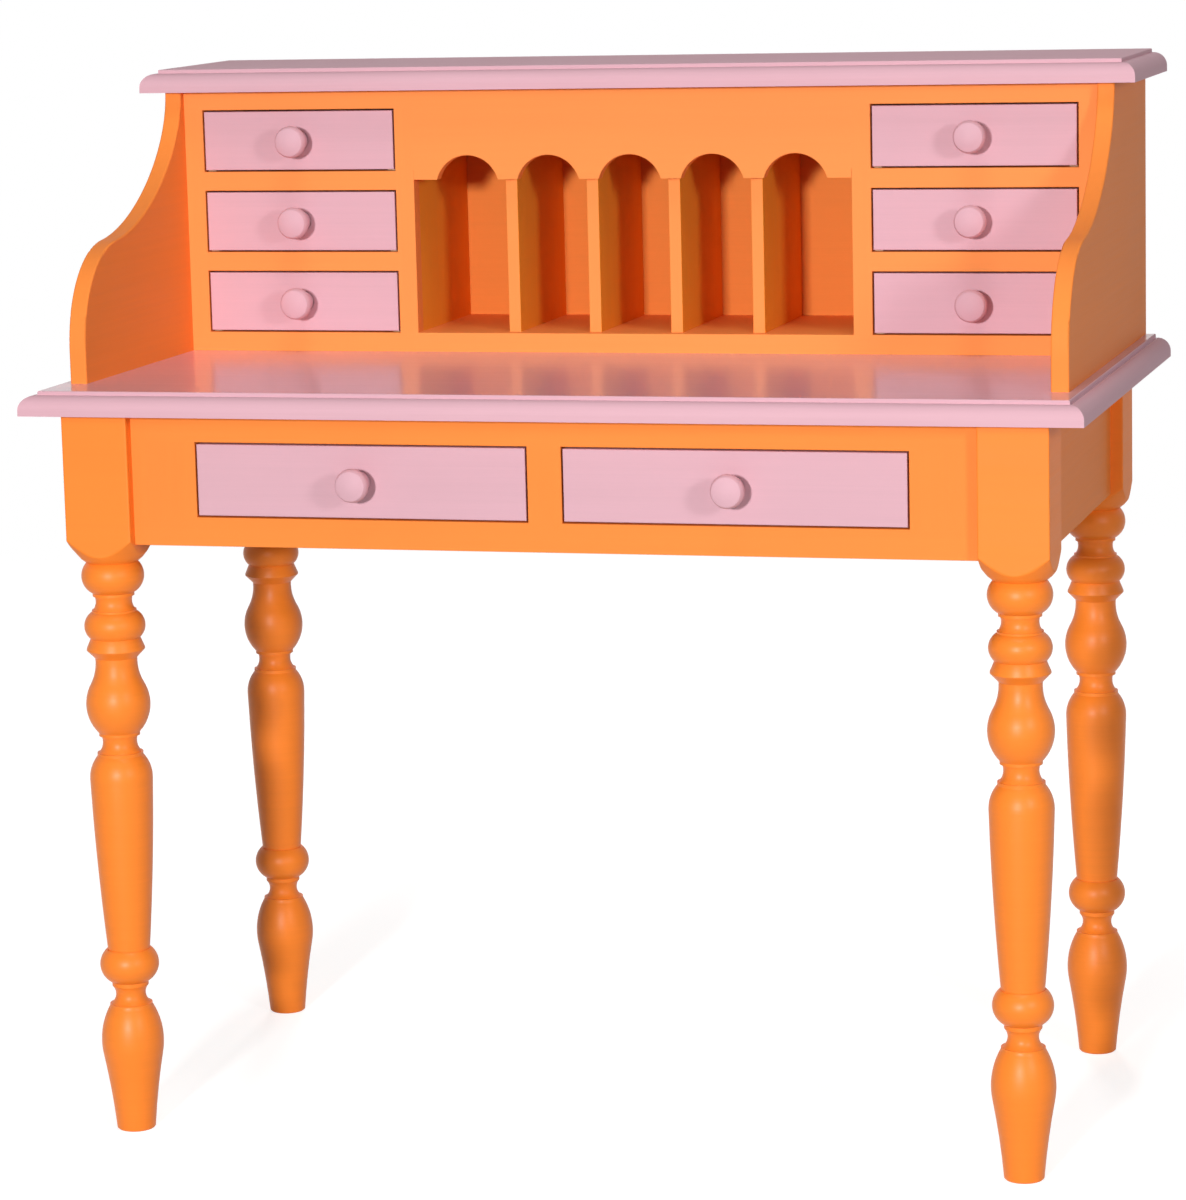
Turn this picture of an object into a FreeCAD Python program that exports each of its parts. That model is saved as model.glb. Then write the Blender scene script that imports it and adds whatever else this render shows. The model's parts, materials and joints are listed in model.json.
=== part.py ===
import FreeCAD, Part
import math
import os

from FreeCAD import Vector

# A painted writing desk with a low hutch of drawers and pigeonholes, in millimetres.
# +Z is up, -Y is the front, +X is to the viewer's right. The origin is on the floor,
# under the centre of the desk top.

# Desk top and its moulded edge
desk_top_width = 1080.0
desk_top_depth = 596.0
desk_top_thickness = 24.0
ovolo_radius = 14.0
quirk_width = 2.0
quirk_height = 4.0
arris_radius = 1.2
end_overhang = 37.0
front_overhang = 22.5
rear_overhang = 30.5

# Turned legs: the square block, then each turned member from the floor up. A share is how
# far up its member an arc passes the radius named beside it.
leg_square = 70.0
leg_block_height = 151.0
block_arris = 1.5
toe_radius = 20.0
toe_chamfer = 1.5
foot_taper_height = 79.5
foot_taper_radius = 30.9
foot_taper_hollow = 1.0
foot_belly_height = 51.5
foot_belly_radius = 31.8
foot_belly_share = 0.4
foot_collar_height = 2.0
foot_collar_radius = 22.0
ankle_foot_radius = 20.6
ankle_height = 19.0
ankle_radius = 15.4
ankle_fillet_height = 4.0
ankle_fillet_radius = 18.8
ring_height = 35.0
ring_radius = 30.4
ring_share = 0.535
ring_top_radius = 23.0
column_height = 180.5
column_foot_radius = 21.7
column_head_radius = 32.2
column_swell = 1.4
column_shoulder_height = 24.0
column_shoulder_radius = 30.3
column_ring_height = 3.5
column_ring_radius = 23.5
neck_foot_radius = 21.8
neck_height = 17.5
neck_radius = 17.7
neck_head_radius = 18.8
vase_fillet_height = 3.0
vase_fillet_radius = 21.0
vase_belly_height = 51.0
vase_belly_radius = 32.8
vase_belly_share = 0.55
vase_waist_radius = 27.2
vase_neck_height = 27.0
vase_neck_radius = 21.5
vase_neck_hollow = 2.0
collar_flare_height = 8.5
collar_edge_height = 1.5
collar_radius = 29.8
collar_top_height = 10.5
collar_top_radius = 25.4
lower_bead_height = 27.5
lower_bead_radius = 31.2
lower_bead_fillet_height = 2.0
lower_bead_fillet_radius = 22.8
throat_foot_radius = 21.6
throat_height = 14.5
throat_radius = 18.6
throat_head_radius = 19.6
throat_fillet_height = 3.0
throat_fillet_radius = 21.3
upper_bead_height = 32.0
upper_bead_radius = 32.0
upper_bead_share = 0.57
upper_bead_top_radius = 26.2
pommel_foot_height = 4.5
pommel_foot_radius = 31.6
pommel_height = 23.0
pommel_overrun = 1.0

# Aprons and the frame round the desk drawers
apron_height = 136.0
apron_thickness = 22.0
apron_recess = 13.0
apron_arris = 1.5
front_top_rail_height = 29.0
front_bottom_rail_height = 31.0
end_stile_width = 68.0
centre_stile_width = 35.0
tenon_length = 25.0
tenon_thickness = 10.0
tenon_shoulder = 6.0
stile_tenon_length = 8.0

# Drawer fits, shared by all the drawers
drawer_gap = 1.8
running_gap = 0.3
rear_clearance = 1.0
drawer_front_arris = 1.2

# Desk drawers, their runners and kickers
desk_front_thickness = 20.0
desk_side_thickness = 12.0
desk_back_thickness = 12.0
desk_bottom_thickness = 5.0
desk_bottom_rise = 8.0
desk_groove_depth = 5.0
desk_rabbet_depth = 10.0
desk_headroom = 4.0
runner_ledge = 20.0
runner_thickness = 18.0
desk_guide_width = 28.0
desk_guide_height = 30.0
kicker_width = 40.0

# Hutch carcass
hutch_end_setback = 26.5
hutch_height = 280.0
hutch_depth = 210.5
hutch_side_thickness = 18.0
hutch_slab_end_overhang = 23.0
hutch_slab_front_overhang = 24.5
hutch_slab_thickness = 24.0
hutch_back_thickness = 12.0
hutch_back_setback = 6.0
hutch_back_rabbet = 9.0
hutch_floor_thickness = 12.0
side_housing = 6.0
board_housing = 4.0
partition_thickness = 12.0

# Swept outline of the hutch sides
side_foot_setback = 78.0
side_foot_rise = 34.0
side_nose_radius = 105.0
side_tread_slope = 5.0
side_sweep_reach = 100.0
side_neck_rise = 60.0
side_top_reveal = 9.5
side_arris = 2.0

# Face frame, arched valance and pigeonholes
frame_thickness = 18.0
hutch_rail_height = 20.4
outer_stile_width = 20.5
inner_stile_width = 20.5
pigeonhole_span = 476.0
pigeonhole_pitch = 89.2
pigeonhole_count = 5
valance_thickness = 14.0
valance_height = 75.6
arch_radius = 34.75
arch_rise = 25.5
arch_arris = 1.0
divider_thickness = 13.0
divider_arris = 1.0

# Hutch drawers and their runners
hutch_drawer_rows = 3
hutch_front_thickness = 16.0
hutch_drawer_side_thickness = 9.0
hutch_drawer_back_thickness = 9.0
hutch_bottom_thickness = 4.0
hutch_bottom_rise = 6.0
hutch_groove_depth = 4.0
hutch_rabbet_depth = 8.0
hutch_headroom = 3.0
hutch_runner_ledge = 8.0
hutch_guide_height = 30.0

# Turned knobs
knob_base_radius = 11.5
knob_neck_radius = 10.2
knob_neck_length = 18.5
knob_neck_share = 0.42
knob_underside_radius = 15.2
knob_head_radius = 17.0
knob_rim_length = 13.5
knob_rim_share = 0.48
knob_face_radius = 14.6
knob_dome = 3.0
knob_spigot_radius = 6.0
knob_spigot_length = 11.0
glue_line = 0.05

# Screws and dowels
screw_radius = 2.0
screw_head_radius = 4.0
screw_head_height = 2.5
screw_hole_clearance = 0.1
desk_screw_length = 44.0
desk_screw_margin = 56.5
desk_screw_count = 3
hutch_screw_length = 50.0
hutch_screw_margin = 41.5
hutch_screw_count = 3
dowel_radius = 4.0
dowel_length = 32.0
dowel_margin = 32.25
dowel_count = 2

# Two coordinates closer than this are the same
same_place = 1e-6

# Places worked out from the sizes above
turned_height = (
    toe_chamfer + foot_taper_height + foot_belly_height + foot_collar_height + ankle_height
    + ankle_fillet_height + ring_height + column_height + column_shoulder_height
    + column_ring_height + neck_height + vase_fillet_height + vase_belly_height + vase_neck_height
    + collar_flare_height + collar_edge_height + collar_top_height + lower_bead_height
    + lower_bead_fillet_height + throat_height + throat_fillet_height + upper_bead_height
    + pommel_foot_height
)
leg_height = turned_height + leg_block_height
desk_top_under = leg_height
desk_top_face = desk_top_under + desk_top_thickness

top_front_y = -desk_top_depth / 2
top_rear_y = desk_top_depth / 2
block_outer_x = desk_top_width / 2 - end_overhang
block_inner_x = block_outer_x - leg_square
block_front_y = top_front_y + front_overhang
block_rear_y = top_rear_y - rear_overhang
leg_x = block_outer_x - leg_square / 2
leg_front_y = block_front_y + leg_square / 2
leg_rear_y = block_rear_y - leg_square / 2

apron_bottom = desk_top_under - apron_height
apron_face_y = block_front_y + apron_recess
apron_back_y = apron_face_y + apron_thickness
rear_apron_outer_y = block_rear_y - apron_recess
rear_apron_inner_y = rear_apron_outer_y - apron_thickness
side_apron_outer_x = block_outer_x - apron_recess
side_apron_inner_x = side_apron_outer_x - apron_thickness
side_apron_front_y = block_front_y + leg_square
side_apron_rear_y = block_rear_y - leg_square

desk_opening_bottom = apron_bottom + front_bottom_rail_height
desk_opening_top = desk_top_under - front_top_rail_height
desk_opening_inner_x = centre_stile_width / 2
desk_opening_outer_x = block_inner_x - end_stile_width

hutch_width = desk_top_width - 2 * hutch_end_setback
hutch_slab_width = hutch_width + 2 * hutch_slab_end_overhang
hutch_slab_depth = hutch_depth + hutch_slab_front_overhang
side_depth = desk_top_depth - side_foot_setback
side_top_depth = hutch_depth + side_top_reveal
hutch_bottom = desk_top_face
hutch_top_under = hutch_bottom + hutch_height
hutch_rear_y = top_rear_y
hutch_face_y = hutch_rear_y - hutch_depth
frame_back_y = hutch_face_y + frame_thickness
hutch_back_y = hutch_rear_y - hutch_back_setback - hutch_back_thickness
hutch_outer_x = hutch_width / 2
hutch_inner_x = hutch_outer_x - hutch_side_thickness
floor_top = hutch_bottom + hutch_rail_height
top_rail_bottom = hutch_top_under - hutch_rail_height
row_pitch = (hutch_height - hutch_rail_height) / hutch_drawer_rows
hutch_opening_height = row_pitch - hutch_rail_height
pigeonhole_half = pigeonhole_span / 2
hutch_opening_inner_x = pigeonhole_half + inner_stile_width
hutch_opening_outer_x = hutch_inner_x - outer_stile_width
partition_outer_x = pigeonhole_half + partition_thickness
divider_front_y = hutch_face_y + valance_thickness
valance_bottom = top_rail_bottom - valance_height

kicker_length = rear_apron_inner_y - apron_back_y
side_apron_length = side_apron_rear_y - side_apron_front_y
hutch_inside_depth = hutch_back_y - frame_back_y
desk_screw_pitch = (kicker_length - 2 * desk_screw_margin) / (desk_screw_count - 1)
hutch_screw_pitch = (side_apron_length - 2 * hutch_screw_margin) / (hutch_screw_count - 1)
dowel_pitch = (hutch_inside_depth - 2 * dowel_margin) / (dowel_count - 1)


def box(x0, x1, y0, y1, z0, z1):
    return Part.makeBox(x1 - x0, y1 - y0, z1 - z0, Vector(x0, y0, z0))


def prism(points, along):
    """A flat outline of points, pushed along a vector."""
    return Part.Face(Part.makePolygon(points + points[:1])).extrude(along)


def mirrored(shape):
    """The left-hand twin of a right-hand piece."""
    return shape.mirror(Vector(0, 0, 0), Vector(1, 0, 0))


def joined(shapes):
    return shapes[0].fuse(shapes[1:]).removeSplitter()


def eased(shape, radius, wanted):
    """Round the straight or curved edges whose end points all pass the test."""
    edges = [edge for edge in shape.Edges if all(wanted(v.Point) for v in edge.Vertexes)]
    return shape.makeFillet(radius, edges)


def near(a, b):
    return abs(a - b) < same_place


class Turning:
    """The half outline of a turned piece, drawn upward from its foot."""

    def __init__(self, radius):
        self.radius = radius
        self.height = 0.0
        self.edges = [Part.makeLine(Vector(0, 0, 0), Vector(radius, 0, 0))]

    def line(self, radius, rise):
        start = Vector(self.radius, 0, self.height)
        end = Vector(radius, 0, self.height + rise)
        self.edges.append(Part.makeLine(start, end))
        self.radius = radius
        self.height += rise

    def step(self, radius):
        self.line(radius, 0.0)

    def arc(self, through, radius, rise, at=0.5):
        """An arc that passes the given radius at a share of its rise."""
        start = Vector(self.radius, 0, self.height)
        middle = Vector(through, 0, self.height + rise * at)
        end = Vector(radius, 0, self.height + rise)
        self.edges.append(Part.Arc(start, middle, end).toShape())
        self.radius = radius
        self.height += rise

    def dome(self, rise):
        """Close the outline with a cap of a ball, square to the axis at its crown."""
        ball = (self.radius ** 2 + rise ** 2) / (2 * rise)
        half_angle = math.asin(self.radius / ball) / 2
        drop = ball * (1 - math.cos(half_angle))
        self.arc(ball * math.sin(half_angle), 0.0, rise, at=1 - drop / rise)

    def solid(self):
        top = Vector(0, 0, self.height)
        edges = list(self.edges)
        if self.radius > 0:
            edges.append(Part.makeLine(Vector(self.radius, 0, self.height), top))
        edges.append(Part.makeLine(top, Vector(0, 0, 0)))
        return Part.Face(Part.Wire(edges)).revolve(Vector(0, 0, 0), Vector(0, 0, 1), 360)


def moulded_slab(width, front_y, rear_y, z0, thickness):
    """A board with an ovolo, a quirk and an eased arris on its front and ends, square behind."""
    lip = thickness - ovolo_radius - quirk_height
    inset = ovolo_radius + quirk_width
    bulge = ovolo_radius * (1 - math.sqrt(0.5))
    ease = arris_radius * (1 - math.sqrt(0.5))

    def edge_outline(out, back, place):
        """The moulded edge from the underside to the top, then square down the far side."""
        def at(d, h):
            return place(out + (d if back > out else -d), z0 + h)
        top = thickness
        far = abs(back - out)
        return Part.Wire([
            Part.makeLine(at(0, 0), at(0, lip)),
            Part.Arc(at(0, lip), at(bulge, lip + ovolo_radius - bulge),
                     at(ovolo_radius, lip + ovolo_radius)).toShape(),
            Part.makeLine(at(ovolo_radius, lip + ovolo_radius), at(inset, lip + ovolo_radius)),
            Part.makeLine(at(inset, lip + ovolo_radius), at(inset, top - arris_radius)),
            Part.Arc(at(inset, top - arris_radius), at(inset + ease, top - ease),
                     at(inset + arris_radius, top)).toShape(),
            Part.makeLine(at(inset + arris_radius, top), at(far, top)),
            Part.makeLine(at(far, top), at(far, 0)),
            Part.makeLine(at(far, 0), at(0, 0)),
        ])

    half = width / 2
    along_front = Part.Face(edge_outline(front_y, rear_y, lambda a, z: Vector(-half, a, z)))
    front_run = along_front.extrude(Vector(width, 0, 0))
    right_end = Part.Face(edge_outline(half, 0.0, lambda a, z: Vector(a, front_y, z)))
    right_run = right_end.extrude(Vector(0, rear_y - front_y, 0))
    ends = joined([right_run, mirrored(right_run)])
    return front_run.common(ends)


def turned_leg():
    """One leg on the Z axis: turned members up to the square block."""
    block_corner_radius = leg_square / math.sqrt(2) + pommel_overrun
    turning = Turning(toe_radius - toe_chamfer)
    turning.line(toe_radius, toe_chamfer)
    foot_hollow_radius = (toe_radius + foot_taper_radius) / 2 - foot_taper_hollow
    turning.arc(foot_hollow_radius, foot_taper_radius, foot_taper_height)
    turning.arc(foot_belly_radius, foot_collar_radius, foot_belly_height,
                at=foot_belly_share)
    turning.line(foot_collar_radius, foot_collar_height)
    turning.step(ankle_foot_radius)
    turning.arc(ankle_radius, ankle_fillet_radius, ankle_height)
    turning.line(ankle_fillet_radius, ankle_fillet_height)
    turning.arc(ring_radius, ring_top_radius, ring_height, at=ring_share)
    turning.step(column_foot_radius)
    column_middle_radius = (column_foot_radius + column_head_radius) / 2 + column_swell
    turning.arc(column_middle_radius, column_head_radius, column_height)
    turning.arc(column_shoulder_radius, column_ring_radius, column_shoulder_height)
    turning.line(column_ring_radius, column_ring_height)
    turning.step(neck_foot_radius)
    turning.arc(neck_radius, neck_head_radius, neck_height)
    turning.step(vase_fillet_radius)
    turning.line(vase_fillet_radius, vase_fillet_height)
    turning.arc(vase_belly_radius, vase_waist_radius, vase_belly_height,
                at=vase_belly_share)
    vase_hollow_radius = (vase_waist_radius + vase_neck_radius) / 2 - vase_neck_hollow
    turning.arc(vase_hollow_radius, vase_neck_radius, vase_neck_height)
    turning.line(collar_radius, collar_flare_height)
    turning.line(collar_radius, collar_edge_height)
    turning.line(collar_top_radius, collar_top_height)
    turning.arc(lower_bead_radius, lower_bead_fillet_radius, lower_bead_height)
    turning.line(lower_bead_fillet_radius, lower_bead_fillet_height)
    turning.step(throat_foot_radius)
    turning.arc(throat_radius, throat_head_radius, throat_height)
    turning.step(throat_fillet_radius)
    turning.line(throat_fillet_radius, throat_fillet_height)
    turning.arc(upper_bead_radius, upper_bead_top_radius, upper_bead_height,
                at=upper_bead_share)
    turning.line(pommel_foot_radius, pommel_foot_height)
    turning.line(block_corner_radius, pommel_height)
    turning.line(block_corner_radius, leg_block_height - pommel_height)
    half = leg_square / 2
    stock = box(-half, half, -half, half, 0, leg_height)
    stock = stock.makeFillet(block_arris, [e for e in stock.Edges if near(e.Length, leg_height)])
    return turning.solid().common(stock)


def front_rail_tenon(z0, z1):
    """The tenon at the right end of a front rail."""
    middle_y = (apron_face_y + apron_back_y) / 2
    return box(block_inner_x, block_inner_x + tenon_length,
               middle_y - tenon_thickness / 2, middle_y + tenon_thickness / 2,
               z0 + tenon_shoulder, z1 - tenon_shoulder)


def rear_apron_tenon():
    middle_y = (rear_apron_inner_y + rear_apron_outer_y) / 2
    return box(block_inner_x, block_inner_x + tenon_length,
               middle_y - tenon_thickness / 2, middle_y + tenon_thickness / 2,
               apron_bottom + tenon_shoulder, desk_top_under - tenon_shoulder)


def side_apron_tenons():
    """The tenons at the front and rear ends of the right-hand apron."""
    middle_x = (side_apron_inner_x + side_apron_outer_x) / 2
    x0 = middle_x - tenon_thickness / 2
    x1 = middle_x + tenon_thickness / 2
    z0 = apron_bottom + tenon_shoulder
    z1 = desk_top_under - tenon_shoulder
    front = box(x0, x1, side_apron_front_y - tenon_length, side_apron_front_y, z0, z1)
    rear = box(x0, x1, side_apron_rear_y, side_apron_rear_y + tenon_length, z0, z1)
    return [front, rear]


def legs():
    leg = turned_leg()
    front_mortises = [
        front_rail_tenon(desk_opening_top, desk_top_under),
        front_rail_tenon(apron_bottom, desk_opening_bottom),
        side_apron_tenons()[0],
    ]
    rear_mortises = [rear_apron_tenon(), side_apron_tenons()[1]]
    front = leg.translated(Vector(leg_x, leg_front_y, 0)).cut(front_mortises)
    rear = leg.translated(Vector(leg_x, leg_rear_y, 0)).cut(rear_mortises)
    return {
        "leg_front_right": front,
        "leg_front_left": mirrored(front),
        "leg_rear_right": rear,
        "leg_rear_left": mirrored(rear),
    }


def front_stile_spans():
    """The x ranges of the three upright pieces between the front rails."""
    end = (desk_opening_outer_x, block_inner_x)
    middle = (-centre_stile_width / 2, centre_stile_width / 2)
    return [(-end[1], -end[0]), middle, end]


def front_stile_tenons():
    middle_y = (apron_face_y + apron_back_y) / 2
    y0 = middle_y - tenon_thickness / 2
    y1 = middle_y + tenon_thickness / 2
    tenons = []
    for x0, x1 in front_stile_spans():
        tenons.append(box(x0 + tenon_shoulder, x1 - tenon_shoulder, y0, y1,
                          desk_opening_bottom - stile_tenon_length,
                          desk_opening_top + stile_tenon_length))
    return tenons


def front_apron():
    """Two rails tenoned into the legs, and three stiles tenoned into the rails."""
    rails = []
    for z0, z1 in ((apron_bottom, desk_opening_bottom), (desk_opening_top, desk_top_under)):
        board = box(-block_inner_x, block_inner_x, apron_face_y, apron_back_y, z0, z1)
        if near(z0, apron_bottom):
            board = eased(board, apron_arris, lambda p: near(p.z, apron_bottom) and
                          near(p.y, apron_face_y))
        tenon = front_rail_tenon(z0, z1)
        rail = joined([board, tenon, mirrored(tenon)])
        rails.append(rail.cut(front_stile_tenons()))
    stiles = []
    for (x0, x1), tenon in zip(front_stile_spans(), front_stile_tenons()):
        board = box(x0, x1, apron_face_y, apron_back_y, desk_opening_bottom, desk_opening_top)
        stiles.append(joined([board, tenon]))
    return {
        "apron_front_rails": Part.makeCompound(rails),
        "apron_front_stiles": Part.makeCompound(stiles),
    }


def other_aprons():
    right = box(side_apron_inner_x, side_apron_outer_x, side_apron_front_y, side_apron_rear_y,
                apron_bottom, desk_top_under)
    right = eased(right, apron_arris, lambda p: near(p.z, apron_bottom) and
                  near(p.x, side_apron_outer_x))
    right = joined([right] + side_apron_tenons())
    rear = box(-block_inner_x, block_inner_x, rear_apron_inner_y, rear_apron_outer_y,
               apron_bottom, desk_top_under)
    rear = eased(rear, apron_arris, lambda p: near(p.z, apron_bottom) and
                 near(p.y, rear_apron_outer_y))
    rear = joined([rear, rear_apron_tenon(), mirrored(rear_apron_tenon())])
    return {"apron_right": right, "apron_left": mirrored(right), "apron_rear": rear}


def desk_runners():
    """Runners level with the lower front rail, each with a guide on it beside the drawers."""
    def pair(runner_x0, runner_x1, guide_x0, guide_x1):
        runner = box(runner_x0, runner_x1, apron_back_y, rear_apron_inner_y,
                     desk_opening_bottom - runner_thickness, desk_opening_bottom)
        guide = box(guide_x0, guide_x1, apron_back_y, rear_apron_inner_y,
                    desk_opening_bottom, desk_opening_bottom + desk_guide_height)
        return [runner, guide]

    outer_x = desk_opening_outer_x + desk_guide_width
    right = pair(desk_opening_outer_x - runner_ledge, outer_x, desk_opening_outer_x, outer_x)
    ledge_x = desk_opening_inner_x + runner_ledge
    middle = pair(-ledge_x, ledge_x, -desk_opening_inner_x, desk_opening_inner_x)
    return Part.makeCompound(right + middle + [mirrored(piece) for piece in right])


def spread(count, pitch):
    """Places of a centred row."""
    return [(i - (count - 1) / 2) * pitch for i in range(count)]


def screw(length, point):
    """A countersunk screw that points up, with the flat of its head at the given point."""
    turning = Turning(screw_head_radius)
    turning.line(screw_radius, screw_head_height)
    turning.line(screw_radius, length - screw_head_height - screw_radius)
    turning.line(0.0, screw_radius)
    return turning.solid().translated(point)


def screw_hole(length, point):
    """The room for one such screw, a little wider all round and a little deeper."""
    turning = Turning(screw_head_radius + screw_hole_clearance)
    turning.line(screw_radius + screw_hole_clearance, screw_head_height)
    turning.line(screw_radius + screw_hole_clearance, length - screw_head_height)
    return turning.solid().translated(point)


def desk_screw_points():
    """Screw heads under the two kickers, which hold the desk top down."""
    middle_x = (desk_opening_inner_x + desk_opening_outer_x) / 2
    middle_y = (apron_back_y + rear_apron_inner_y) / 2
    return [Vector(side * middle_x, middle_y + y, desk_opening_top)
            for side in (-1, 1) for y in spread(desk_screw_count, desk_screw_pitch)]


def hutch_screw_points():
    """Screw heads under the desk top, which hold the hutch sides down."""
    middle_x = hutch_outer_x - hutch_side_thickness / 2
    middle_y = (side_apron_front_y + side_apron_rear_y) / 2
    return [Vector(side * middle_x, middle_y + y, desk_top_under)
            for side in (-1, 1) for y in spread(hutch_screw_count, hutch_screw_pitch)]


def desk_screw_holes():
    return [screw_hole(desk_screw_length, point) for point in desk_screw_points()]


def hutch_screw_holes():
    return [screw_hole(hutch_screw_length, point) for point in hutch_screw_points()]


def kickers():
    """Bars over the drawers that stop them tipping and carry the desk top's screws."""
    middle_x = (desk_opening_inner_x + desk_opening_outer_x) / 2
    bars = []
    for centre in (-middle_x, middle_x):
        bar = box(centre - kicker_width / 2, centre + kicker_width / 2, apron_back_y,
                  rear_apron_inner_y, desk_opening_top, desk_top_under)
        bars.append(bar.cut(desk_screw_holes()))
    return Part.makeCompound(bars)


def desk_top():
    slab = moulded_slab(desk_top_width, top_front_y, top_rear_y, desk_top_under,
                        desk_top_thickness)
    return slab.cut(desk_screw_holes() + hutch_screw_holes())


def desk_base():
    nodes = legs()
    nodes.update(front_apron())
    nodes.update(other_aprons())
    nodes["desk_drawer_runners"] = desk_runners()
    nodes["desk_drawer_kickers"] = kickers()
    nodes["desk_top"] = desk_top()
    nodes["desk_top_screws"] = Part.makeCompound(
        [screw(desk_screw_length, point) for point in desk_screw_points()])
    return nodes


def dowel_points():
    """Centres of the dowels between the hutch sides and the hutch top."""
    middle_x = hutch_outer_x - hutch_side_thickness / 2
    middle_y = (frame_back_y + hutch_back_y) / 2
    return [Vector(side * middle_x, middle_y + y, hutch_top_under)
            for side in (-1, 1) for y in spread(dowel_count, dowel_pitch)]


def dowels(clearance):
    half = dowel_length / 2 + clearance
    return [Part.makeCylinder(dowel_radius + clearance, 2 * half, point - Vector(0, 0, half))
            for point in dowel_points()]


def floor_board():
    """The hutch floor as it is sawn, with its ends reaching into the side housings."""
    end = hutch_inner_x + side_housing
    return box(-end, end, frame_back_y, hutch_back_y, floor_top - hutch_floor_thickness, floor_top)


def frame_rail(z0):
    """A full-width rail of the face frame, housed in both sides."""
    end = hutch_inner_x + side_housing
    return box(-end, end, hutch_face_y, frame_back_y, z0, z0 + hutch_rail_height)


def back_board():
    edge = hutch_inner_x + hutch_back_rabbet
    return box(-edge, edge, hutch_back_y, hutch_back_y + hutch_back_thickness,
               hutch_bottom, hutch_top_under)


def partition():
    """The right-hand board between the pigeonholes and the drawers."""
    return box(pigeonhole_half, partition_outer_x, frame_back_y, hutch_back_y,
               floor_top - board_housing, hutch_top_under + board_housing)


def divider(centre):
    """One pigeonhole divider, notched round the face frame's rails."""
    x0 = centre - divider_thickness / 2

    def at(y, z):
        return Vector(x0, y, z)

    low = floor_top - board_housing
    high = hutch_top_under + board_housing
    board = prism([at(divider_front_y, floor_top), at(frame_back_y, floor_top),
                   at(frame_back_y, low), at(hutch_back_y, low), at(hutch_back_y, high),
                   at(frame_back_y, high), at(frame_back_y, top_rail_bottom),
                   at(divider_front_y, top_rail_bottom)], Vector(divider_thickness, 0, 0))
    upright = [edge for edge in board.Edges
               if all(near(v.Point.y, divider_front_y) for v in edge.Vertexes)
               and not near(edge.Vertexes[0].Point.z, edge.Vertexes[1].Point.z)]
    return board.makeFillet(divider_arris, upright)


def dividers():
    return [divider(x) for x in spread(pigeonhole_count - 1, pigeonhole_pitch)]


def hutch_side():
    """The right-hand side: an upright foot, a round nose and a long sweep up to the top."""
    def at(y, z):
        return Vector(hutch_inner_x, y, z)

    front_y = hutch_rear_y - side_depth
    top_y = hutch_rear_y - side_top_depth
    slope = math.radians(side_tread_slope)
    nose_y = front_y + side_nose_radius
    nose_z = hutch_bottom + side_foot_rise

    def on_nose(angle):
        return at(nose_y - side_nose_radius * math.cos(angle),
                  nose_z + side_nose_radius * math.sin(angle))

    tread_angle = math.pi / 2 - slope
    tread = on_nose(tread_angle)
    sweep = Part.BezierCurve()
    sweep.setPoles([
        tread,
        tread + Vector(0, math.cos(slope), math.sin(slope)) * side_sweep_reach,
        at(top_y, hutch_top_under - side_neck_rise),
        at(top_y, hutch_top_under),
    ])
    outline = Part.Wire([
        Part.makeLine(at(front_y, hutch_bottom), on_nose(0)),
        Part.Arc(on_nose(0), on_nose(tread_angle / 2), tread).toShape(),
        sweep.toShape(),
        Part.makeLine(at(top_y, hutch_top_under), at(hutch_rear_y, hutch_top_under)),
        Part.makeLine(at(hutch_rear_y, hutch_top_under), at(hutch_rear_y, hutch_bottom)),
        Part.makeLine(at(hutch_rear_y, hutch_bottom), at(front_y, hutch_bottom)),
    ])
    board = Part.Face(outline).extrude(Vector(hutch_side_thickness, 0, 0))

    def on_sweep(edge):
        a, b = [v.Point for v in edge.Vertexes]
        return near(a.x, b.x) and not near(a.z, b.z) and not near(a.y, hutch_rear_y)

    board = board.makeFillet(side_arris, [edge for edge in board.Edges if on_sweep(edge)])
    rabbet = box(hutch_inner_x, hutch_inner_x + hutch_back_rabbet, hutch_back_y, hutch_rear_y,
                 hutch_bottom, hutch_top_under)
    housings = [rabbet, floor_board(), frame_rail(hutch_bottom), frame_rail(top_rail_bottom)]
    return board.cut(housings + hutch_screw_holes() + dowels(glue_line))


def arched_valance():
    """The board over the pigeonholes, with a round-headed arch above each one."""
    board = box(-pigeonhole_half, pigeonhole_half, hutch_face_y, divider_front_y,
                valance_bottom, top_rail_bottom)
    arch_z = valance_bottom + arch_rise - arch_radius
    arches = [Part.makeCylinder(arch_radius, valance_thickness,
                                Vector(x, hutch_face_y, arch_z), Vector(0, 1, 0))
              for x in spread(pigeonhole_count, pigeonhole_pitch)]
    board = board.cut(arches)
    heads = [edge for edge in board.Edges
             if isinstance(edge.Curve, Part.Circle) and near(edge.Vertexes[0].Point.y, hutch_face_y)]
    return board.makeFillet(arch_arris, heads)


def row_bottoms():
    """The height of each hutch drawer opening's lower edge, from the lowest row up."""
    return [floor_top + row_pitch * row for row in range(hutch_drawer_rows)]


def face_frame():
    right_stiles = [
        box(hutch_opening_outer_x, hutch_inner_x, hutch_face_y, frame_back_y,
            floor_top, top_rail_bottom),
        box(pigeonhole_half, hutch_opening_inner_x, hutch_face_y, frame_back_y,
            floor_top, top_rail_bottom),
    ]
    right_rails = [
        box(hutch_opening_inner_x, hutch_opening_outer_x, hutch_face_y, frame_back_y,
            z - hutch_rail_height, z)
        for z in row_bottoms()[1:]
    ]
    return {
        "hutch_top_rail": frame_rail(top_rail_bottom),
        "hutch_bottom_rail": frame_rail(hutch_bottom),
        "hutch_stiles": Part.makeCompound(right_stiles + [mirrored(s) for s in right_stiles]),
        "hutch_drawer_rails": Part.makeCompound(right_rails + [mirrored(r) for r in right_rails]),
        "arched_valance": arched_valance(),
    }


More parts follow.
